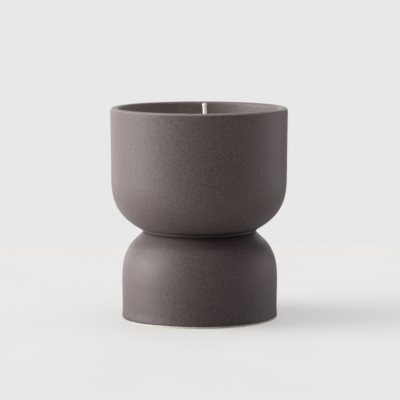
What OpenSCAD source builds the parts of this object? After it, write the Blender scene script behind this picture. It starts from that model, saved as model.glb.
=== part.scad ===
// Two-part stoneware candle jar: a bowl luted onto a hollow domed foot,
// filled with wax round one braided wick.  Millimetres, +Z up, origin on the
// standing surface under the centre of the foot.

/* [Bowl] */
// Outside radius of the rim
rim_r = 44.53; // [40:0.01:50]
// Height of the rim above the standing surface
rim_z = 105.7; // [95:0.1:120]
// Height at which the upright wall starts to turn in
wall_z = 69.5; // [66:0.1:76]
// How far the wall leans in going down, in degrees
wall_lean = 0.63; // [0:0.01:2]
// Radius of the slow turn under the wall
upper_turn_r = 44.5; // [38:0.1:55]
// Slope of the surface where the slow turn ends, in degrees
upper_turn_a = 9.9; // [8:0.1:14]
// Radius of the tight turn at the shoulder
middle_turn_r = 21.9; // [19:0.1:25]
// Slope of the surface where the tight turn ends, in degrees
middle_turn_a = 47.4; // [44:0.1:50]
// Radius of the last turn, down to the joint with the foot
lower_turn_r = 33; // [28:0.1:38]
// Slope of the surface at the joint, in degrees
lower_turn_a = 63; // [60:0.1:64]
// Thickness of the bowl's wall
bowl_wall = 4; // [3:0.1:5]
// Thickness of the bowl's floor
bowl_floor = 4.3; // [4:0.1:6]
// Rounding of the lip's outer and inner edges
lip_r = 1.45; // [0.8:0.05:1.7]

/* [Joint] */
// Outside radius of the crease under the luting ring
waist_r = 28.3; // [27:0.05:29]
// Height of the luting ring
luting_h = 1.6; // [1:0.05:2.5]
// Inside radius of the luting ring
luting_in_r = 21.5; // [20:0.5:24]

/* [Foot] */
// Largest outside radius of the foot
foot_r = 39.15; // [37:0.05:41]
// How far the foot's wall leans in going down, in degrees
foot_lean = 1; // [0:0.1:2]
// Radius of the slow turn above the foot's widest place
low_dome_r = 63.5; // [50:0.5:80]
// Slope of the dome where that turn ends, in degrees
low_dome_a = 6.3; // [4:0.1:9]
// Radius of the dome's middle turn
mid_dome_r = 23.2; // [21:0.1:26]
// Slope of the dome where the middle turn ends, in degrees
mid_dome_a = 31.8; // [28:0.1:34]
// Radius of the dome's top turn
top_dome_r = 15.7; // [14:0.1:18]
// Slope of the dome from there up to the crease, in degrees
top_dome_a = 46.6; // [44:0.1:50]
// Thickness of the foot's wall
foot_wall = 4; // [3:0.1:5]
// Height of the bare clay ring under the glaze
ring_h = 0.9; // [0.6:0.1:2]
// Height over which the glaze thickens towards its lower edge
roll_h = 4.7; // [3:0.1:7]
// How far the glaze's lower edge stands proud
roll_out = 0.28; // [0.1:0.02:0.5]

/* [Wax and wick] */
// Gap from the rim down to the top of the wax
headspace = 14; // [10:0.5:25]
// Distance of the wick from the centre of the jar
wick_x = 3.1; // [0:0.1:5]
// Radius of the braided wick
wick_r = 1.08; // [0.8:0.01:1.5]
// Radius of the cord inside the braid
core_r = 0.42; // [0.3:0.01:0.6]
// Radius of the slow curve of the wick above the wax
wick_bend_r = 310; // [200:10:600]
// Height of the wick above the rim
wick_proud = 2.7; // [1:0.1:6]
// Radius of the frayed tip
tip_r = 1.42; // [1.1:0.01:1.6]
// Length of the frayed tip
tip_h = 3; // [1:0.5:4]
// Slope of the slanting cut across the tip, in degrees
cut_a = 14; // [0:1:30]

/* [Wick tab] */
// Radius of the stamped tab
tab_r = 10; // [8:0.5:12]
// Thickness of the tab's steel
tab_t = 0.3; // [0.2:0.05:0.5]
// Height of the crimped neck
neck_h = 6; // [4:0.5:9]
// Thickness of the foam sticker under the tab
sticker_t = 0.8; // [0.5:0.1:1.5]

/* [Base label] */
// Radius of the blank label inside the foot
label_r = 17; // [12:0.5:19]
// Thickness of the label
label_t = 0.2; // [0.1:0.05:0.4]

/* [Hidden] */

clay = "#6E6462";
cream = "#D9CFBB";
cotton = "#F5F3EC";
steel = "#C4C6C8";

// A point at radius r from c, turned a degrees down from horizontal.
function below(c, r, a) = [c.x + r * cos(a), c.y - r * sin(a)];
// Points along an arc, from a0 to a1 degrees below horizontal.
function arc(c, r, a0, a1, steps) =
    [for (i = [0:steps]) below(c, r, a0 + (a1 - a0) * i / steps)];
function reversed(pts) = [for (i = [len(pts) - 1:-1:0]) pts[i]];
function raised(pts, z) = [for (p = pts) [p.x, p.y + z]];

// Centres of the bowl's three turns, each tangent to the one above it.
wall_r = rim_r - (rim_z - wall_z) * tan(wall_lean);
upper_c = below([wall_r, wall_z], -upper_turn_r, wall_lean);
middle_c = below(upper_c, upper_turn_r - middle_turn_r, upper_turn_a);
lower_c = below(middle_c, middle_turn_r - lower_turn_r, middle_turn_a);

// The joint, the crease under it, the bowl's floor and the wax.
joint = below(lower_c, lower_turn_r, lower_turn_a);
waist_z = joint.y - luting_h;
floor_z = joint.y + bowl_floor;
wax_z = rim_z - headspace;

// Centres of the dome's turns, counted from the height of the foot's widest place.
low_dome_c = [foot_r - low_dome_r, 0];
mid_dome_c = below(low_dome_c, low_dome_r - mid_dome_r, -low_dome_a);
top_dome_c = below(mid_dome_c, mid_dome_r - top_dome_r, -mid_dome_a);
dome_end = below(top_dome_c, top_dome_r, -top_dome_a);
dome_h = dome_end.y + (dome_end.x - waist_r) / tan(top_dome_a);
widest_z = waist_z - dome_h;

// The bowl's side, moved in by t, from the start of its turns down to slope a.
function bowl_side(t, a) =
    concat(arc(upper_c, upper_turn_r - t, wall_lean, upper_turn_a, 4),
           arc(middle_c, middle_turn_r - t, upper_turn_a, middle_turn_a, 8),
           arc(lower_c, lower_turn_r - t, middle_turn_a, a, 4));

// The inside of the bowl, down to its floor.
floor_a = asin((lower_c.y - floor_z) / (lower_turn_r - bowl_wall));
bowl_inside = bowl_side(bowl_wall, floor_a);

// The foot's dome, moved in by t, from the crease's height down.
function dome_side(t) =
    let (end = below(top_dome_c, top_dome_r - t, -top_dome_a))
    raised(concat([[end.x - (dome_h - end.y) * tan(top_dome_a), dome_h]],
                  arc(top_dome_c, top_dome_r - t, -top_dome_a, -mid_dome_a, 5),
                  arc(mid_dome_c, mid_dome_r - t, -mid_dome_a, -low_dome_a, 6),
                  arc(low_dome_c, low_dome_r - t, -low_dome_a, 0, 3)),
           widest_z);

inner_r = rim_r - bowl_wall;
lip_out = arc([rim_r - lip_r, rim_z - lip_r], lip_r, -90, 0, 4);
lip_in = arc([inner_r + lip_r, rim_z - lip_r], lip_r, -180, -90, 4);

module bowl() {
    color(clay)
        rotate_extrude($fn = 128)
            polygon(concat(lip_in, lip_out, bowl_side(0, lower_turn_a), [[0, joint.y], [0, floor_z]],
                           reversed(bowl_inside)));
}

// Fired slip that joins the bowl to the foot, wiped flush with both.
module luting_ring() {
    color(clay)
        rotate_extrude($fn = 128)
            polygon([[luting_in_r, waist_z], [waist_r, waist_z], joint, [luting_in_r, joint.y]]);
}

module foot() {
    neck_r = foot_r - (widest_z - roll_h) * tan(foot_lean);
    edge_r = neck_r + roll_out;
    bevel = 0.4;
    color(clay)
        rotate_extrude($fn = 128)
            polygon(concat(dome_side(0),
                           [[neck_r, roll_h], [edge_r - 0.1, roll_h / 3], [edge_r, ring_h], [edge_r - bevel, 0],
                            [foot_r - foot_wall + bevel, 0], [foot_r - foot_wall, ring_h]],
                           reversed(dome_side(foot_wall))));
}

wick_foot_z = floor_z + sticker_t + tab_t;
wick_sides = 16;
bend_steps = 5;
tip_z = rim_z + wick_proud;
bend_a = asin((tip_z - wax_z - tip_h) / wick_bend_r);

// A place on the wick's curve above the wax: [x, z, lean in degrees, outside radius].
function bent(a) = [wick_x - wick_bend_r * (1 - cos(a)), wax_z + wick_bend_r * sin(a), a, wick_r];

// The wick's places from its foot to its tip, upright in the wax and curved above it.
wick_places = concat([[wick_x, wick_foot_z, 0, wick_r]],
                     [for (i = [0:bend_steps]) bent(bend_a * i / bend_steps)],
                     [[bent(bend_a).x - tip_h * sin(bend_a), tip_z + tip_r * sin(bend_a), bend_a, tip_r]]);
tip_place = len(wick_places) - 1;

// How far the slanting cut lowers a point that lies u across the tip.
function cut_drop(i, u) = i == tip_place ? (tip_r + u) * tan(cut_a) : 0;

// The ring of points at place i, at radius r from the wick's middle.
function wick_ring(i, r) =
    let (s = wick_places[i])
    [for (k = [0:wick_sides - 1])
        let (u = r * cos(360 * k / wick_sides),
             v = r * sin(360 * k / wick_sides),
             d = cut_drop(i, u))
        [s[0] + u * cos(s[2]) + d * sin(s[2]), v, s[1] + u * sin(s[2]) - d * cos(s[2])]];

core_points = [for (i = [0:tip_place]) each wick_ring(i, core_r)];
braid_points = [for (i = [0:tip_place]) each wick_ring(i, wick_places[i][3])];

// Index of side k on ring i, counted from the first point at start.
function at(i, k, start = 0) = start + i * wick_sides + k % wick_sides;

// Faces round the side of a stack of rings.
function side_faces(start = 0) =
    [for (i = [0:tip_place - 1]) for (k = [0:wick_sides - 1])
        [at(i, k, start), at(i + 1, k, start), at(i + 1, k + 1, start), at(i, k + 1, start)]];
function flipped(faces) = [for (f = faces) reversed(f)];

// The braid is a tube, open at both ends for the cord inside it.
module wick_braid() {
    inner = len(braid_points);
    color(cotton)
        polyhedron(points = concat(braid_points, core_points),
                   faces = concat(side_faces(), flipped(side_faces(inner)),
                                  [for (k = [0:wick_sides - 1])
                                      [at(0, k), at(0, k + 1), at(0, k + 1, inner), at(0, k, inner)]],
                                  [for (k = [0:wick_sides - 1])
                                      [at(tip_place, k, inner), at(tip_place, k + 1, inner),
                                       at(tip_place, k + 1), at(tip_place, k)]]));
}

module wick_core() {
    color(cotton)
        polyhedron(points = core_points,
                   faces = concat(side_faces(), [[for (k = [0:wick_sides - 1]) k],
                                  [for (k = [wick_sides - 1:-1:0]) at(tip_place, k)]]));
}

// A stamped disc with a crimped neck that holds the wick's foot.
module wick_tab() {
    translate([wick_x, 0, floor_z + sticker_t])
        color(steel) {
            cylinder(r = tab_r, h = tab_t, $fn = 96);
            translate([0, 0, tab_t])
                difference() {
                    cylinder(r = wick_r + tab_t, h = neck_h, $fn = 48);
                    cylinder(r = wick_r, h = neck_h, $fn = 48);
                }
        }
}

module wick_sticker() {
    color("white")
        translate([wick_x, 0, floor_z])
            cylinder(r = tab_r - 1, h = sticker_t, $fn = 96);
}

// Inside radius of the bowl's leaning wall at height z.
function inside_r(z) =
    let (low = bowl_inside[0])
    low.x + (inner_r - low.x) * (z - low.y) / (rim_z - lip_r - low.y);

// The wax fills the bowl round the wick, its tab and the sticker.
module wax() {
    color(cream)
        difference() {
            rotate_extrude($fn = 128)
                polygon(concat([[0, wax_z], [inside_r(wax_z), wax_z]], bowl_inside, [[0, floor_z]]));
            translate([wick_x, 0, floor_z]) {
                translate([0, 0, -1])
                    cylinder(r = tab_r - 1, h = sticker_t + 1, $fn = 96);
                translate([0, 0, sticker_t])
                    cylinder(r = tab_r, h = tab_t, $fn = 96);
                translate([0, 0, sticker_t])
                    cylinder(r = wick_r + tab_t, h = tab_t + neck_h, $fn = 48);
                cylinder(r = wick_r, h = wax_z - floor_z + 1, $fn = 48);
            }
        }
}

// A blank disc stuck to the underside of the bowl, inside the foot.
module base_label() {
    color("white")
        translate([0, 0, joint.y - label_t])
            cylinder(r = label_r, h = label_t, $fn = 96);
}

bowl();
luting_ring();
foot();
wax();
wick_braid();
wick_core();
wick_tab();
wick_sticker();
base_label();
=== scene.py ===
"""Looks for a stoneware candle jar: a bowl luted onto a hollow domed foot, with wax and an unlit wick.

Outlines are worked out in millimetres, as (radius, height) points, and meshes are made in metres.
"""

import math

import bmesh
import bpy
import numpy as np
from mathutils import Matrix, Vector, noise

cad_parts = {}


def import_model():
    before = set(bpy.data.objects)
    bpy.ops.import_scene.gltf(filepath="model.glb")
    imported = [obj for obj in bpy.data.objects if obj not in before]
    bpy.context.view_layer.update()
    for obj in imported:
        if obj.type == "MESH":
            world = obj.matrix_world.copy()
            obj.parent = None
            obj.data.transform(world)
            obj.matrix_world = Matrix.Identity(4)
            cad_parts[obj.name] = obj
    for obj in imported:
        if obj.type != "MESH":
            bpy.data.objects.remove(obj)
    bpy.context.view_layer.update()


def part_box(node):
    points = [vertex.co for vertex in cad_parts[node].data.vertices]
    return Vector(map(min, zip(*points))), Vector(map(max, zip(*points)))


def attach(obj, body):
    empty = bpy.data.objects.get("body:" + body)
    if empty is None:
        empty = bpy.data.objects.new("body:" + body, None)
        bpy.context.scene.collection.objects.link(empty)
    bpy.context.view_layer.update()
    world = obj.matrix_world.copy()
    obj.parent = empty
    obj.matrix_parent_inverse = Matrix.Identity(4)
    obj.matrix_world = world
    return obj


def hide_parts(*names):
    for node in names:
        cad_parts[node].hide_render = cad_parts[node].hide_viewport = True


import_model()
MM = 0.001
BODY = "root"


def mm(value):
    return value / MM


# ---------------------------------------------------------------- sizes read from the frame
BOWL_LOW, BOWL_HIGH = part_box("bowl")
FOOT_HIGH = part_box("foot")[1]
WAX_LOW, WAX_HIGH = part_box("wax")
WICK_LOW, WICK_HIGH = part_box("wick_braid")
TAB_LOW, TAB_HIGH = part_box("wick_tab")
STICKER_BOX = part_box("wick_sticker")
LABEL_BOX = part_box("base_label")
RIM_R = mm(BOWL_HIGH[0])
RIM_Z = mm(BOWL_HIGH[2])
JOINT_Z = mm(BOWL_LOW[2])
WAIST_Z = mm(FOOT_HIGH[2])
FLOOR_Z = mm(WAX_LOW[2])
WAX_Z = mm(WAX_HIGH[2])
WICK_Z = mm(WICK_HIGH[2])
WICK_FOOT_Z = mm(WICK_LOW[2])
WICK_X = mm(TAB_LOW[0] + TAB_HIGH[0]) / 2

# ---------------------------------------------------------------- sizes shared with the design
WALL = 4.0
WALL_Z = 69.5
WALL_LEAN = 0.63
LIP_R = 1.45
# each turn is its radius, and the slope in degrees where it ends
BOWL_TURNS = ((44.5, 9.9), (21.9, 47.4), (33.0, 63.0))
WAIST_R = 28.3
LUTING_IN_R = 21.5
FOOT_R = 39.15
FOOT_LEAN = 1.0
DOME_TURNS = ((63.5, 6.3), (23.2, 31.8), (15.7, 46.6))
RING_H = 0.9
ROLL_H = 4.7
WICK_R = 1.08
WICK_BEND_R = 310.0
TIP_R = 1.42
TIP_H = 3.0
TAB_T = 0.3
INSIDE_SLOPE = 58.0  # slope of the bowl's inside where it meets its floor, in degrees

# ---------------------------------------------------------------- hand-made faults of the real jar, and its painted shade and light
FOOT_SHIFT = 0.285  # the bowl is luted on a little to the left of the foot's centre
GROOVE = 0.42  # width of the fine line left where the slip was wiped along the bowl
SHADE_A = 42.0  # where the painted shade in the crease round the joint is darkest, in degrees to the right of the front
LIP_LINE = 0.3  # half the width of the thin pale line along the lip's edges, partly the glaze's break and partly a painted highlight
INSIDE_LIFT = 0.2  # how much lighter the inside of the bowl is painted, as painted light on the inner wall
GLAZE_DROP = 0.8  # how much lower the glaze ends on the left of the foot, where it was wiped less

TURNS = 288
STEP = 0.9


# ---------------------------------------------------------------- outlines
def tan(a):
    return math.tan(math.radians(a))


def below(centre, r, a):
    """The point at radius r from centre, a degrees below horizontal."""
    a = math.radians(a)
    return (centre[0] + r * math.cos(a), centre[1] - r * math.sin(a))


def arc(centre, r, a0, a1, steps):
    return [below(centre, r, a0 + (a1 - a0) * i / steps) for i in range(steps + 1)]


def fine(points, step=STEP):
    """The same outline with its long straight stretches cut into steps."""
    out = [points[0]]
    for a, b in zip(points, points[1:]):
        cuts = max(1, math.ceil(math.dist(a, b) / step))
        out += [tuple(p + (q - p) * k / cuts for p, q in zip(a, b)) for k in range(1, cuts + 1)]
    return out


def turns_of(start, slope, turns, inset, way):
    """Arcs that follow on from each other. way is 1 for turns going down and -1 for turns going up."""
    points, at = [], start
    for r, end in turns:
        centre = below(at, -r, way * slope)
        points += arc(centre, r - inset, way * slope, way * end, 12)[1 if points else 0:]
        at, slope = below(centre, r, way * end), end
    return points


WALL_R = RIM_R - (RIM_Z - WALL_Z) * tan(WALL_LEAN)
JOINT_R = turns_of((WALL_R, WALL_Z), WALL_LEAN, BOWL_TURNS, 0, 1)[-1][0]
_top = turns_of((FOOT_R, 0), 0, DOME_TURNS, 0, -1)[-1]
WIDEST_Z = WAIST_Z - _top[1] - (_top[0] - WAIST_R) / tan(DOME_TURNS[-1][1])


def bowl_side(inset):
    """The bowl's side from the start of its turns down to the joint."""
    return turns_of((WALL_R, WALL_Z), WALL_LEAN, BOWL_TURNS, inset, 1)


def bowl_inside(inset):
    """The inside of the bowl, from the start of its turns down to its floor."""
    side = [p for p in bowl_side(inset) if p[1] > FLOOR_Z + 0.2]
    last = side[-1]
    return side + [(last[0] - (last[1] - FLOOR_Z) * tan(INSIDE_SLOPE), FLOOR_Z)]


def dome_side(inset):
    """The foot's dome from the waist's height down to its widest place."""
    side = turns_of((FOOT_R, WIDEST_Z), 0, DOME_TURNS, inset, -1)[::-1]
    back = (WAIST_Z - side[0][1]) * tan(DOME_TURNS[-1][1])
    return [(side[0][0] - back, WAIST_Z)] + side


def bowl_outline():
    """The bowl's inside, and its lip, outside and underside, as two lists."""
    inner = RIM_R - WALL
    inner_lip = arc((inner + LIP_R, RIM_Z - LIP_R), LIP_R, -180, -90, 10)
    outer_lip = arc((RIM_R - LIP_R, RIM_Z - LIP_R), LIP_R, -90, 0, 10)
    inside = fine([(0, FLOOR_Z)] + bowl_inside(WALL)[::-1] + inner_lip)
    across = fine([inner_lip[-1], outer_lip[0]], 0.3)[1:-1]
    outside = fine(outer_lip + [p for p in bowl_side(0) if p[1] > JOINT_Z + 0.4 * GROOVE])
    edge = [(JOINT_R - 0.1 * GROOVE, JOINT_Z + 0.2 * GROOVE), (JOINT_R - 1.6 * GROOVE, JOINT_Z)]
    return inside, across + outside + edge + fine([(JOINT_R - 3 * GROOVE, JOINT_Z), (0, JOINT_Z)], 3.0)


def luting_outline():
    """Slip wiped nearly flush: a low convex band between the bowl's groove and the foot's crease."""
    gap, crown, steps = 0.01, 0.07, 6
    roof, base = JOINT_Z - gap, WAIST_Z + gap
    top = (JOINT_R - 0.3 * GROOVE, JOINT_Z - 0.6 * GROOVE)
    low = (WAIST_R, WAIST_Z + 0.5 * GROOVE)
    face = []
    for i in range(steps + 1):
        t = i / steps
        bulge = crown * math.sin(math.pi * t)
        r = top[0] + (low[0] - top[0]) * t + bulge
        face.append((r, top[1] + (low[1] - top[1]) * t - 0.4 * bulge))
    crease = [(WAIST_R - 0.3 * GROOVE, WAIST_Z + 0.2 * GROOVE), (WAIST_R - 1.4 * GROOVE, base)]
    back = [(LUTING_IN_R, base), (LUTING_IN_R, roof), (JOINT_R - 2 * GROOVE, roof)]
    return [(JOINT_R - 1.5 * GROOVE, roof)] + face + crease + fine([crease[-1]] + back)[1:]


def foot_outline():
    """The foot's outside and underside, and its inside, as two lists."""
    neck = FOOT_R - (WIDEST_Z - ROLL_H) * tan(FOOT_LEAN)
    edge = neck + 0.25
    clay = edge - 0.11
    bevel = 0.3
    ring_in = FOOT_R - WALL
    roll = [(neck, ROLL_H + 0.2), (neck + 0.05, 3.9), (neck + 0.11, 2.8), (edge - 0.05, 1.7)]
    outside = dome_side(0) + roll
    step = [(edge, RING_H + 0.3), (edge - 0.01, RING_H + 0.16), (edge - 0.06, RING_H + 0.05)]
    step += [(clay, RING_H - 0.02), (clay, RING_H - 0.1)]
    under = arc((clay - bevel, bevel), bevel, 0, 90, 5) + arc((ring_in + bevel, bevel), bevel, 90, 180, 5)
    return fine(outside) + step + fine(under, 0.5), fine(dome_side(WALL)[::-1])


# ---------------------------------------------------------------- meshes
def new_object(name, verts, faces, smooth=True):
    mesh = bpy.data.meshes.new(name)
    mesh.from_pydata([tuple(v) for v in verts], [], faces)
    mesh.update()
    if smooth:
        mesh.shade_smooth()
    obj = bpy.data.objects.new(name, mesh)
    bpy.context.scene.collection.objects.link(obj)
    return obj


def lathe(name, rows, place, turns=TURNS, closed=False):
    """Turns rows of (radius, height[, centre x]) round the upright axis.

    place(r, z, a, x) gives each point in mm, for an angle a and a row's centre x.
    """
    verts, rings = [], []
    for row in rows:
        r, z = row[0], row[1]
        x = row[2] if len(row) > 2 else 0.0
        count = 1 if r < 1e-6 else turns
        rings.append((len(verts), count))
        for k in range(count):
            a = 2 * math.pi * k / turns
            verts.append(tuple(MM * v for v in place(r, z, a, x)))
    faces = []
    pairs = list(zip(rings, rings[1:] + rings[:1])) if closed else list(zip(rings, rings[1:]))
    for (a, na), (b, nb) in pairs:
        for k in range(turns):
            n = (k + 1) % turns
            quad = (a + k % na, a + n % na, b + n % nb, b + k % nb)
            face = tuple(dict.fromkeys(quad))
            if len(face) > 2:
                faces.append(face)
    obj = new_object(name, verts, faces)
    turn_outwards(obj)
    return obj


def turn_outwards(obj):
    bm = bmesh.new()
    bm.from_mesh(obj.data)
    bmesh.ops.recalc_face_normals(bm, faces=bm.faces)
    bm.to_mesh(obj.data)
    bm.free()


def waviness(r, z, a, size, seed):
    p = Vector((r * math.cos(a), r * math.sin(a), z)) / size
    return noise.noise(p + Vector((seed, seed * 0.7, -seed)))


def glazed_place(shift, seed):
    """Casting faults: a slow waviness and the pooling of the glaze, always inwards."""

    def place(r, z, a, x):
        slow = 0.016 * (waviness(r, z, a, 24, seed) - 1)
        pool = 0.007 * (waviness(r, z, a, 3.2, seed + 5) - 1)
        r = max(0.0, r + (slow + pool if r > 1 else 0))
        return (shift + r * math.cos(a), r * math.sin(a), z)

    return place


def mark(obj, name, values):
    attribute = obj.data.attributes.new(name, "FLOAT", "POINT")
    attribute.data.foreach_set("value", np.asarray(values, dtype=np.float32))


def mark_shade_and_pooling(obj, reach, edge=0.0):
    """Up to 1 for the painted shade along the joint's two lines, darkest to the right of the front, fading
    out over reach mm.

    edge is how dark the glaze pools along its own lower edge on the foot.
    """
    lines = ((JOINT_R - 0.2, JOINT_Z), (WAIST_R, WAIST_Z))
    values = []
    for v in obj.data.vertices:
        r, z = mm(math.hypot(v.co.x, v.co.y)), mm(v.co.z)
        gap = min(math.dist((r, z), line) for line in lines)
        # painted shade: the crease is painted darkest to the right of the front, where the shade falls,
        # and lightest on the left
        turn = math.atan2(v.co.x, -v.co.y) - math.radians(SHADE_A)
        shade_share = max(0.05, 0.42 + 0.58 * math.cos(turn))
        rolled = edge * math.exp(-(((z - RING_H - 0.35) / 0.4) ** 2))
        values.append(max(shade_share * math.exp(-((gap / reach) ** 2)), rolled))
    mark(obj, "crease_shade_and_pooling", values)


def bowl():
    inside, outside = bowl_outline()
    obj = lathe("jar_bowl", inside + outside, glazed_place(0.0, 3.0))
    # painted highlight: the lip's outer edge is painted pale at full strength and its inner edge faintly,
    # over the glaze's own break, and the inside of the bowl is painted lighter as painted light
    inset = 0.35 * LIP_R
    edges = ((RIM_R - inset, 1.0), (RIM_R - WALL + inset, 0.3))
    inside_count = TURNS * (len(inside) - 3)
    break_and_painted_light = []
    for v in obj.data.vertices:
        place = (mm(math.hypot(v.co.x, v.co.y)), mm(v.co.z))
        gaps = ((math.dist(place, (r, RIM_Z - inset)), line_share) for r, line_share in edges)
        lip = max(line_share * math.exp(-((gap / LIP_LINE) ** 2)) for gap, line_share in gaps)
        break_and_painted_light.append(max(lip, INSIDE_LIFT if v.index < inside_count else 0.0))
    mark(obj, "break_and_painted_light", break_and_painted_light)
    mark_shade_and_pooling(obj, 2.2)
    return obj


def foot():
    settled = glazed_place(FOOT_SHIFT, 9.0)

    def place(r, z, a, x):
        if r > FOOT_R - 0.8 and 0.75 < z < 1.3:
            z += 0.12 * waviness(r, 0, a, 1.6, 2.0) + 0.1 * waviness(r, 0, a, 7.0, 4.0)
        x, y, z = settled(r, z, a, x)
        return (x, y, max(z, 0.0))

    outside, inside = foot_outline()
    obj = lathe("jar_foot", outside + inside, place, closed=True)
    mark(obj, "inside", [0.0] * (TURNS * len(outside)) + [1.0] * (TURNS * len(inside)))
    mark(obj, "break_and_painted_light", [0.0] * len(obj.data.vertices))
    mark_shade_and_pooling(obj, 2.6, 0.35)
    return obj


def luting_ring():
    def place(r, z, a, x):
        x += FOOT_SHIFT * (JOINT_Z - z) / (JOINT_Z - WAIST_Z)
        if r > WAIST_R:
            r += 0.04 * waviness(r, z, a, 4.0, 6.0)
        return (x + r * math.cos(a), r * math.sin(a), z)

    obj = lathe("luting_slip", luting_outline(), place, closed=True)
    mark(obj, "break_and_painted_light", [0.0] * len(obj.data.vertices))
    mark_shade_and_pooling(obj, 1.1)
    return obj


# ---------------------------------------------------------------- wax
def wax_wall(z):
    """Inside radius of the bowl at height z of its upright wall."""
    low = bowl_side(WALL)[0]
    return low[0] + (RIM_R - WALL - low[0]) * (z - low[1]) / (RIM_Z - LIP_R - low[1])


def wax():
    """The poured wax, with a meniscus at the wall and round the wick, as a ring about the wick's hole."""
    gap = 0.06
    meniscus = 0.55
    hole = WICK_R + 0.03
    wall = wax_wall(WAX_Z) - gap
    top_steps = 60
    rows = []
    for i in range(top_steps + 1):
        t = (i / top_steps) ** 1.6
        r = hole + (wall - hole) * t
        rise = meniscus * (math.exp(-(r - hole) / 0.7) + math.exp(-(wall - r) / 0.8))
        rows.append((r, WAX_Z - meniscus - 0.01 + rise, WICK_X * (1 - t)))
    floor = bowl_inside(WALL + gap)
    side = fine([(wall, WAX_Z - 0.1)] + floor[:-1] + [(floor[-1][0], FLOOR_Z + gap)], 2.0)
    rows += [(r, z, 0.0) for r, z in side[1:]]
    tab_r, cup_z = mm(TAB_HIGH[0] - TAB_LOW[0]) / 2 + gap, mm(TAB_HIGH[2]) + gap
    plate_z = mm(STICKER_BOX[1][2]) + TAB_T + gap
    neck_r = WICK_R + TAB_T + gap
    rows += [(tab_r, FLOOR_Z + gap, WICK_X), (tab_r, plate_z, WICK_X), (neck_r, plate_z, WICK_X)]
    rows += [(neck_r, cup_z, WICK_X), (hole, cup_z, WICK_X)]

    def place(r, z, a, x):
        if z > WAX_Z - 1:
            z += 0.05 * waviness(r, 0, a, 9.0, 1.0)
        return (x + r * math.cos(a), r * math.sin(a), z)

    return lathe("poured_wax", rows, place, closed=True)


# ---------------------------------------------------------------- wick
WICK_END_A = math.asin((WICK_Z - WAX_Z - TIP_H) / WICK_BEND_R)


def wick_frame(z):
    """Centre, lean and flare of the wick at height z: upright in the wax, curved to the left above it."""
    if z <= WAX_Z:
        return WICK_X, 0.0, 0.0
    a = min(math.asin(min(1.0, (z - WAX_Z) / WICK_BEND_R)), WICK_END_A)
    x = WICK_X - WICK_BEND_R * (1 - math.cos(a))
    past = max(0.0, z - (WICK_Z - TIP_H))
    return x - past * math.tan(WICK_END_A), a, min(1.0, past / TIP_H)


def wick_point(z, r, turn):
    """The point at radius r and angle turn round the wick, at height z along it."""
    x, lean, _ = wick_frame(z)
    u, v = r * math.cos(turn), r * math.sin(turn)
    return Vector((x + u * math.cos(lean), v, z + u * math.sin(lean)))


def cut_height(turn, r):
    """Height where the yarns end: the frayed tip is highest a little to the left of its middle."""
    peak_x, right_slope, left_slope = -0.35, 0.6, 0.9
    across = r * math.cos(turn) - peak_x
    return WICK_Z - 0.3 - (right_slope * across if across > 0 else -left_slope * across)


def tube(path, outs, wide, shade_share, sides, verts, faces, taper=0.0):
    """Adds a flat-oval strand along path to verts and faces.

    outs are the directions that its thickness faces, and taper is the share of its length that thins out.
    """
    start = len(verts)
    n = len(path)
    for i, (p, out) in enumerate(zip(path, outs)):
        along = (path[min(i + 1, n - 1)] - path[max(i - 1, 0)]).normalized()
        side = along.cross(out).normalized()
        up = side.cross(along).normalized()
        left = (n - 1 - i) / max(1, n - 1)
        size = 1.0 if taper == 0 or left > taper else 0.35 + 0.65 * math.sqrt(left / taper)
        for k in range(sides):
            a = 2 * math.pi * k / sides
            verts.append((p + side * (wide * size * math.cos(a)) + up * (shade_share * size * math.sin(a))) * MM)
    for i in range(n - 1):
        for k in range(sides):
            a, b = start + i * sides + k, start + i * sides + (k + 1) % sides
            faces.append((a, b, b + sides, a + sides))
    faces.append(tuple(start + k for k in range(sides))[::-1])
    faces.append(tuple(start + (n - 1) * sides + k for k in range(sides)))


def wick_braid():
    """Twelve yarns, six each way, that pass over and under each other, with loose fibres at the end."""
    pairs, pitch, middle, wave = 6, 7.4, 0.80, 0.11
    seed = 11
    verts, faces = [], []
    rng = np.random.default_rng(seed)
    for way in (1, -1):
        for k in range(pairs):
            phase = 2 * math.pi * k / pairs + (0.0 if way > 0 else 0.13)
            end_turn = way * 2 * math.pi * WICK_Z / pitch + phase
            top = cut_height(end_turn, 1.1) - rng.uniform(0.0, 0.25)
            steps = int((top - WICK_FOOT_Z) / 0.3)
            path, outs = [], []
            for i in range(steps + 1):
                z = WICK_FOOT_Z + (top - WICK_FOOT_Z) * i / steps
                turn = way * 2 * math.pi * z / pitch + phase
                flare = wick_frame(z)[2]
                weave = way * wave * math.cos(pairs * 2 * math.pi * z / pitch)
                r = middle + weave + 0.26 * flare ** 1.5
                path.append(wick_point(z, r, turn))
                outs.append((wick_point(z, r + 1, turn) - path[-1]).normalized())
            tube(path, outs, 0.30, 0.145, 8, verts, faces, taper=0.006)
            add_fibres(rng, way, phase, pitch, top, verts, faces)
    return new_object("wick_sleeve", verts, faces)


def add_fibres(rng, way, phase, pitch, top, verts, faces):
    for _ in range(7):
        length = rng.uniform(0.7, 1.7)
        spread = rng.uniform(-0.25, 0.3)
        drift = rng.uniform(-0.35, 0.35)
        end = min(top + rng.uniform(-0.3, 0.3), WICK_Z - 0.03)
        path, outs = [], []
        for i in range(7):
            t = i / 6
            z = end - length * (1 - t)
            turn = way * 2 * math.pi * z / pitch + phase + drift * t
            r = min(0.86 + 0.2 * wick_frame(z)[2] + spread * t * t, TIP_R - 0.06)
            path.append(wick_point(z, r, turn))
            outs.append((wick_point(z, r + 1, turn) - path[-1]).normalized())
        tube(path, outs, 0.055, 0.05, 5, verts, faces, taper=0.3)


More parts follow.
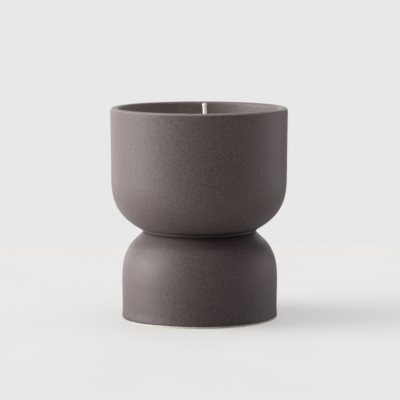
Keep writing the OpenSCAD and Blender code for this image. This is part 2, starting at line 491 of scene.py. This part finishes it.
def wick_core():
    """A cord of three twisted strands inside the braid."""
    verts, faces = [], []
    strands, pitch = 3, 3.2
    for k in range(strands):
        top = WICK_Z - 0.75 - 0.15 * k
        steps = int((top - WICK_FOOT_Z) / 0.3)
        path, outs = [], []
        for i in range(steps + 1):
            z = WICK_FOOT_Z + (top - WICK_FOOT_Z) * i / steps
            turn = 2 * math.pi * (z / pitch + k / strands)
            path.append(wick_point(z, 0.215, turn))
            outs.append((wick_point(z, 1.2, turn) - path[-1]).normalized())
        tube(path, outs, 0.2, 0.2, 8, verts, faces, taper=0.005)
    return new_object("wick_cord", verts, faces)


# ---------------------------------------------------------------- tab, sticker and label
def wick_tab():
    """A stamped disc with a pressed ring, and a neck crimped on two sides."""
    low, high = mm(TAB_LOW[2]), mm(TAB_HIGH[2])
    disc_r = mm(TAB_HIGH[0] - TAB_LOW[0]) / 2
    neck_out, neck_in = WICK_R + TAB_T, WICK_R
    rib = 0.18
    soft = 0.06
    plate = low + TAB_T
    rows = [(disc_r, low + soft), (disc_r, plate - soft), (disc_r - soft, plate)]
    rows += [(disc_r * 0.72, plate), (disc_r * 0.66, plate + rib), (disc_r * 0.58, plate + rib)]
    rows += [(disc_r * 0.52, plate), (neck_out + 0.5, plate), (neck_out + 0.12, plate + 0.12)]
    rows += [(neck_out, plate + 0.5), (neck_out, high - soft), (neck_out - soft, high)]
    rows += [(neck_in + soft, high), (neck_in, high - soft), (neck_in, low + soft)]
    rows += [(neck_in + soft, low), (disc_r - soft, low)]
    rows = fine(rows, 0.5)

    def place(r, z, a, x):
        on_neck = neck_in + 0.15 < r < neck_out + 0.1 and z > low + 1
        if on_neck:
            r -= 0.1 * math.exp(-(((z - high + 2.6) / 1.1) ** 2)) * max(0.0, math.cos(2 * a))
        return (WICK_X + r * math.cos(a), r * math.sin(a), z)

    return lathe("wick_sustainer", rows, place, turns=96, closed=True)


def disc(name, box, centre_x, edge):
    """A flat disc with a rounded edge that fills box."""
    low, high = mm(box[0][2]), mm(box[1][2])
    r = mm(box[1][0] - box[0][0]) / 2
    rows = [(0, high), (r - edge, high), (r - 0.3 * edge, high - 0.3 * edge), (r, (low + high) / 2)]
    rows += [(r - 0.3 * edge, low + 0.3 * edge), (r - edge, low), (0, low)]

    def place(r, z, a, x):
        return (centre_x + r * math.cos(a), r * math.sin(a), z)

    return lathe(name, fine(rows, 1.0), place, turns=144)


# ---------------------------------------------------------------- node helpers
class Shader:
    """A small builder for procedural materials, with patterns in millimetres of object coordinates."""

    def __init__(self, name):
        self.material = bpy.data.materials.new(name)
        self.material.use_nodes = True
        self.tree = self.material.node_tree
        self.tree.nodes.clear()
        self.out = self.node("ShaderNodeOutputMaterial")
        self.bsdf = self.node("ShaderNodeBsdfPrincipled")
        self.link(self.bsdf.outputs[0], self.out.inputs[0])
        scale = self.node("ShaderNodeVectorMath", operation="SCALE")
        scale.inputs["Scale"].default_value = 1 / MM
        self.link(self.node("ShaderNodeTexCoord").outputs["Object"], scale.inputs[0])
        self.place = scale.outputs[0]

    def node(self, kind, **settings):
        node = self.tree.nodes.new(kind)
        for key, value in settings.items():
            setattr(node, key, value)
        return node

    def link(self, a, b):
        self.tree.links.new(a, b)

    def feed(self, value, socket):
        if isinstance(value, (int, float, tuple)):
            socket.default_value = value
        else:
            self.link(value, socket)

    def noise(self, size, detail=2.0, rough=0.5, shift=0.0):
        """Noise from about 0 to 1 with features about size mm across."""
        place = self.place
        if shift:
            move = self.node("ShaderNodeVectorMath", operation="ADD")
            move.inputs[1].default_value = (shift, -shift, shift)
            self.link(place, move.inputs[0])
            place = move.outputs[0]
        node = self.node("ShaderNodeTexNoise")
        node.inputs["Scale"].default_value = 1 / size
        node.inputs["Detail"].default_value = detail
        node.inputs["Roughness"].default_value = rough
        self.link(place, node.inputs["Vector"])
        return node.outputs["Fac"]

    def spots(self, spacing, radius, soft=0.25, shift=0.0):
        """1 inside round spots of about radius mm, spacing mm apart, and 0 outside."""
        move = self.node("ShaderNodeVectorMath", operation="ADD")
        move.inputs[1].default_value = (shift, shift, -shift)
        self.link(self.place, move.inputs[0])
        node = self.node("ShaderNodeTexVoronoi")
        node.inputs["Scale"].default_value = 1 / spacing
        self.link(move.outputs[0], node.inputs["Vector"])
        edge = radius / spacing
        return self.ramp(node.outputs["Distance"], edge * (1 - soft), edge * (1 + soft), 1.0, 0.0)

    def ramp(self, value, low, high, start=0.0, end=1.0):
        node = self.node("ShaderNodeMapRange", interpolation_type="SMOOTHSTEP")
        self.link(value, node.inputs["Value"])
        for key, number in (("From Min", low), ("From Max", high), ("To Min", start), ("To Max", end)):
            node.inputs[key].default_value = number
        return node.outputs["Result"]

    def math(self, operation, a, b=0.0, clamp=False):
        node = self.node("ShaderNodeMath", operation=operation, use_clamp=clamp)
        self.feed(a, node.inputs[0])
        self.feed(b, node.inputs[1])
        return node.outputs[0]

    def mix(self, factor, a, b, blend="MIX"):
        node = self.node("ShaderNodeMix", data_type="RGBA", blend_type=blend)
        self.feed(factor, node.inputs[0])
        self.feed(a, node.inputs[6])
        self.feed(b, node.inputs[7])
        return node.outputs[2]

    def attribute(self, name):
        return self.node("ShaderNodeAttribute", attribute_name=name).outputs["Fac"]

    def axis(self, letter):
        node = self.node("ShaderNodeSeparateXYZ")
        self.link(self.place, node.inputs[0])
        return node.outputs[letter]

    def bump(self, value, depth, strength=1.0, onto=None):
        """Bump of a given depth in mm, over another bump if there is one."""
        node = self.node("ShaderNodeBump")
        node.inputs["Strength"].default_value = strength
        node.inputs["Distance"].default_value = depth * MM
        self.link(value, node.inputs["Height"])
        if onto is not None:
            self.link(onto, node.inputs["Normal"])
        return node.outputs["Normal"]

    def finish(self, color, rough, normal=None, **settings):
        self.feed(color, self.bsdf.inputs["Base Color"])
        self.feed(rough, self.bsdf.inputs["Roughness"])
        if normal is not None:
            self.link(normal, self.bsdf.inputs["Normal"])
        for key, value in settings.items():
            self.bsdf.inputs[key.replace("_", " ")].default_value = value
        return self.material


def rgb(r, g, b):
    return (r, g, b, 1.0)


# ---------------------------------------------------------------- materials
GLAZE = rgb(0.0905, 0.0615, 0.0615)
GLAZE_DARK = rgb(0.066, 0.044, 0.044)
GLAZE_LIGHT = rgb(0.140, 0.104, 0.102)
# pale for the glaze's speckles and its break on the lip, and for the painted highlight on the lip and the
# painted light inside the bowl
GLAZE_PALE = rgb(0.32, 0.282, 0.25)
# near black for the painted shade in the joint's crease, and for the glaze pooled along its lower edge on
# the foot
GLAZE_SHADE_AND_POOLING = rgb(0.014, 0.009, 0.009)
CLAY = rgb(0.84, 0.79, 0.62)
CLAY_LIGHT = rgb(0.90, 0.87, 0.75)
IRON = rgb(0.10, 0.07, 0.045)


def glaze_parts(s):
    """Colour, roughness and bump height of the matte taupe glaze."""
    cloud = s.ramp(s.noise(16, 3.0), 0.3, 0.7)
    mottle = s.ramp(s.noise(2.6, 3.0, 0.6, 7.0), 0.32, 0.68)
    grain = s.ramp(s.noise(0.75, 2.0, 0.8, 3.0), 0.38, 0.62)
    color = s.mix(s.math("ADD", s.math("MULTIPLY", mottle, 0.3), 0.7), GLAZE, GLAZE_DARK)
    color = s.mix(s.math("MULTIPLY", grain, 0.75), color, GLAZE_LIGHT)
    color = s.mix(s.math("MULTIPLY", cloud, 0.12), color, GLAZE_LIGHT)
    color = s.mix(s.math("MULTIPLY", s.spots(1.9, 0.2, 0.4, 11.0), 0.45), color, IRON)
    color = s.mix(s.math("MULTIPLY", s.spots(2.7, 0.22, 0.5, 23.0), 0.5), color, GLAZE_PALE)
    # painted highlight along the lip's edges over the glaze's break, and painted light inside the bowl
    color = s.mix(s.math("MULTIPLY", s.attribute("break_and_painted_light"), 0.75), color, GLAZE_PALE)
    # painted shade in the joint's crease, and the glaze pooled along its lower edge on the foot
    color = s.mix(s.math("MULTIPLY", s.attribute("crease_shade_and_pooling"), 0.9), color, GLAZE_SHADE_AND_POOLING)
    rough = s.math("ADD", s.math("MULTIPLY", grain, 0.06), 0.47)
    return color, rough, grain, mottle


def bowl_glaze():
    s = Shader("matte_glaze")
    color, rough, grain, mottle = glaze_parts(s)
    normal = s.bump(mottle, 0.02)
    normal = s.bump(grain, 0.034, onto=normal)
    return s.finish(color, rough, normal, Specular_IOR_Level=0.55)


def foot_glaze():
    """The glaze, wiped off the standing ring, and bare clay with a dusting of glaze inside the foot."""
    s = Shader("matte_glaze_over_clay")
    color, rough, grain, mottle = glaze_parts(s)
    clay_grain = s.noise(0.4, 3.0, 0.7, 17.0)
    clay = s.mix(s.ramp(clay_grain, 0.35, 0.65), CLAY, CLAY_LIGHT)
    clay = s.mix(s.math("MULTIPLY", s.spots(1.3, 0.22, 0.4, 31.0), 0.8), clay, IRON)
    wander = s.math("MULTIPLY", s.math("SUBTRACT", s.noise(0.7, 2.0, 0.6, 5.0), 0.5), 0.5)
    drop = s.ramp(s.axis("X"), -15.0, -FOOT_R, 0.0, GLAZE_DROP)
    line = s.math("ADD", s.math("ADD", s.axis("Z"), wander), drop)
    outside = s.ramp(line, RING_H - 0.06, RING_H + 0.05)
    higher = s.math("MULTIPLY", s.axis("Z"), 0.1)
    dust = s.ramp(s.math("ADD", higher, s.noise(0.5, 2.0, 0.6, 13.0)), 0.75, 0.4)
    inside = s.attribute("inside")
    glazed = s.math("MULTIPLY", outside, s.math("SUBTRACT", 1.0, inside))
    glazed = s.math("MAXIMUM", glazed, s.math("MULTIPLY", s.math("MULTIPLY", dust, inside), outside))
    color = s.mix(glazed, clay, color)
    rough = s.math("ADD", s.math("MULTIPLY", s.math("SUBTRACT", 1.0, glazed), 0.35), rough)
    normal = s.bump(mottle, 0.02)
    normal = s.bump(grain, 0.034, onto=normal)
    normal = s.bump(clay_grain, 0.05, 0.5, onto=normal)
    return s.finish(color, rough, normal, Specular_IOR_Level=0.55)


def wax_material():
    s = Shader("candle_wax")
    cloud = s.ramp(s.noise(7, 3.0), 0.3, 0.7)
    frost = s.ramp(s.noise(0.9, 3.0, 0.6, 9.0), 0.35, 0.7)
    color = s.mix(cloud, rgb(0.84, 0.79, 0.66), rgb(0.88, 0.84, 0.73))
    color = s.mix(s.math("MULTIPLY", frost, 0.35), color, rgb(0.93, 0.91, 0.85))
    rough = s.math("ADD", s.math("MULTIPLY", frost, 0.2), 0.36)
    soft = {"Subsurface_Weight": 0.6, "Subsurface_Radius": (0.004, 0.003, 0.002), "IOR": 1.43}
    return s.finish(color, rough, s.bump(frost, 0.02), **soft)


def cotton_material(name, color, dark):
    s = Shader(name)
    fibre = s.ramp(s.noise(0.12, 2.0, 0.7), 0.3, 0.7)
    soot = s.ramp(s.noise(1.1, 2.0, 0.5, 4.0), 0.3, 0.7)
    tone = s.mix(s.math("MULTIPLY", fibre, 0.35), color, dark)
    tone = s.mix(s.math("MULTIPLY", soot, 0.12), tone, dark)
    rough = s.math("ADD", s.math("MULTIPLY", fibre, 0.15), 0.6)
    soft = {"Subsurface_Weight": 0.2, "Subsurface_Radius": (0.002, 0.0019, 0.0018)}
    return s.finish(tone, rough, s.bump(fibre, 0.02), **soft)


def tab_material():
    s = Shader("tinned_steel")
    scratch = s.ramp(s.noise(0.25, 4.0, 0.7), 0.3, 0.7)
    color = s.mix(scratch, rgb(0.55, 0.55, 0.57), rgb(0.70, 0.70, 0.72))
    rough = s.math("ADD", s.math("MULTIPLY", scratch, 0.2), 0.25)
    return s.finish(color, rough, s.bump(scratch, 0.01), Metallic=1.0)


def foam_material():
    s = Shader("closed_cell_foam")
    cells = s.spots(0.35, 0.14, 0.5)
    color = s.mix(cells, rgb(0.85, 0.85, 0.83), rgb(0.68, 0.68, 0.66))
    return s.finish(color, s.math("ADD", s.math("MULTIPLY", cells, 0.1), 0.75), s.bump(cells, 0.05))


def paper_material():
    s = Shader("label_paper")
    fibre = s.ramp(s.noise(0.3, 4.0, 0.7), 0.3, 0.7)
    color = s.mix(fibre, rgb(0.83, 0.80, 0.73), rgb(0.88, 0.86, 0.80))
    return s.finish(color, s.math("ADD", s.math("MULTIPLY", fibre, 0.1), 0.8), s.bump(fibre, 0.015))


def floor_material():
    """A pale floor, with a lift that only the camera sees and a glow that only the camera doesn't."""
    s = Shader("pale_floor")
    seen = s.node("ShaderNodeLightPath").outputs["Is Camera Ray"]
    left = s.ramp(s.axis("X"), -10.0, -130.0, *FLOOR_GLOW_LEFT)
    glow = s.math("ADD", left, s.ramp(s.axis("X"), 20.0, 130.0, *FLOOR_GLOW_RIGHT))
    unseen = s.math("MULTIPLY", s.math("SUBTRACT", 1.0, seen), glow)
    s.link(s.math("ADD", s.math("MULTIPLY", seen, FLOOR_LIFT), unseen), s.bsdf.inputs["Emission Strength"])
    cloud = s.noise(60, 3.0)
    color = s.mix(s.ramp(cloud, 0.3, 0.7), rgb(0.345, 0.343, 0.337), rgb(0.355, 0.353, 0.347))
    return s.finish(color, 0.9, Specular_IOR_Level=0.0, Emission_Color=rgb(1.0, 0.985, 0.965))


# ---------------------------------------------------------------- putting the jar together
def put(obj, material, slot, *nodes):
    obj.data.materials.clear()
    obj.data.materials.append(material)
    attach(obj, BODY)
    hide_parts(*nodes)
    return obj


matte = bowl_glaze()
put(bowl(), matte, "stoneware_glaze", "bowl")
put(foot(), foot_glaze(), "stoneware_glaze", "foot")
put(luting_ring(), matte, "stoneware_glaze", "luting_ring")
put(wax(), wax_material(), "wax", "wax")
cotton = cotton_material("wick_cotton", rgb(0.97, 0.96, 0.94), rgb(0.88, 0.87, 0.83))
put(wick_braid(), cotton, "wick_cotton", "wick_braid")
cord = cotton_material("wick_cord", rgb(0.93, 0.92, 0.89), rgb(0.80, 0.78, 0.74))
put(wick_core(), cord, "wick_cord", "wick_core")
put(wick_tab(), tab_material(), "tab_steel", "wick_tab")
foam = disc("wick_sticker_foam", STICKER_BOX, WICK_X, edge=0.25)
put(foam, foam_material(), "sticker_foam", "wick_sticker")
label = disc("blank_label", LABEL_BOX, 0.0, edge=0.05)
put(label, paper_material(), "label_paper", "base_label")

# ---------------------------------------------------------------- stage
# the floor, in metres: it ends where it meets the wall behind
FLOOR_BACK = 0.264
FLOOR_SIDE = 4.0
FLOOR_LIFT = 0.403
FLOOR_GLOW_LEFT = (0.0, 0.9)
FLOOR_GLOW_RIGHT = (0.0, 0.15)
WHITE = (1.0, 1.0, 1.0)
WARM = (1.0, 0.9, 0.9)
# name, direction (0 from the camera's side, 90 from the left), height and width, all in degrees,
# then strength and colour
LIGHTS = (
    ("window_low", 90, 2, 30, 1.96, WHITE),
    ("window_middle", 90, 12, 50, 1.69, WHITE),
    ("window_top", 90, 38, 50, 1.55, WHITE),
    ("window_front", 60, 2, 30, 0.92, WHITE),
    ("window_back", 140, 2, 30, 0.6, WHITE),
    ("wall_back", 180, 12, 50, 1.02, WHITE),
    ("ceiling", 0, 90, 60, 1.68, WHITE),
    ("card_right", 270, 2, 30, 0.38, WARM),
    ("card_right_back", 240, 2, 30, 0.52, WARM),
)


def floor():
    side, back = FLOOR_SIDE, FLOOR_BACK
    verts = [(-side, -side, 0), (side, -side, 0), (side, back, 0), (-side, back, 0)]
    obj = new_object("floor", verts, [(0, 1, 2, 3)], smooth=False)
    obj.data.materials.append(floor_material())


def world():
    """A plain pale room: one colour where the camera sees it, and a dimmer even fill for the object."""
    room = bpy.data.worlds.new("room")
    bpy.context.scene.world = room
    room.use_nodes = True
    tree = room.node_tree
    tree.nodes.clear()
    out = tree.nodes.new("ShaderNodeOutputWorld")
    mix = tree.nodes.new("ShaderNodeMixShader")
    seen = tree.nodes.new("ShaderNodeBackground")
    fill = tree.nodes.new("ShaderNodeBackground")
    path = tree.nodes.new("ShaderNodeLightPath")
    seen.inputs["Color"].default_value = rgb(0.806, 0.806, 0.806)
    fill.inputs["Color"].default_value = rgb(1.0, 1.0, 1.0)
    fill.inputs["Strength"].default_value = 0.069
    tree.links.new(path.outputs["Is Camera Ray"], mix.inputs[0])
    tree.links.new(fill.outputs[0], mix.inputs[1])
    tree.links.new(seen.outputs[0], mix.inputs[2])
    tree.links.new(mix.outputs[0], out.inputs[0])


def soft_sun(name, azimuth, elevation, spread, strength, color):
    """A wide soft light from a direction: azimuth 0 is from the camera's side and 90 from the left."""
    lamp = bpy.data.lights.new(name, "SUN")
    lamp.energy = strength
    lamp.angle = math.radians(spread)
    lamp.color = color
    obj = bpy.data.objects.new(name, lamp)
    a, e = math.radians(azimuth), math.radians(elevation)
    source = Vector((-math.sin(a) * math.cos(e), -math.cos(a) * math.cos(e), math.sin(e)))
    obj.rotation_mode = "QUATERNION"
    obj.rotation_quaternion = source.to_track_quat("Z", "Y")
    obj.location = source
    bpy.context.scene.collection.objects.link(obj)


def camera():
    data = bpy.data.cameras.new("camera")
    data.sensor_width = 36.0
    data.lens = 201.16
    obj = bpy.data.objects.new("camera", data)
    distance, pitch = 1.1249, math.radians(6.576)
    aim_x, aim_z = 0.000465, 0.059
    obj.location = (aim_x, -distance * math.cos(pitch), aim_z + distance * math.sin(pitch))
    obj.rotation_euler = (math.pi / 2 - pitch, 0, 0)
    data.clip_start, data.clip_end = 0.05, 50
    bpy.context.scene.collection.objects.link(obj)
    bpy.context.scene.camera = obj


floor()
world()
for light in LIGHTS:
    soft_sun(*light)
camera()
bpy.context.scene.view_settings.view_transform = "Standard"
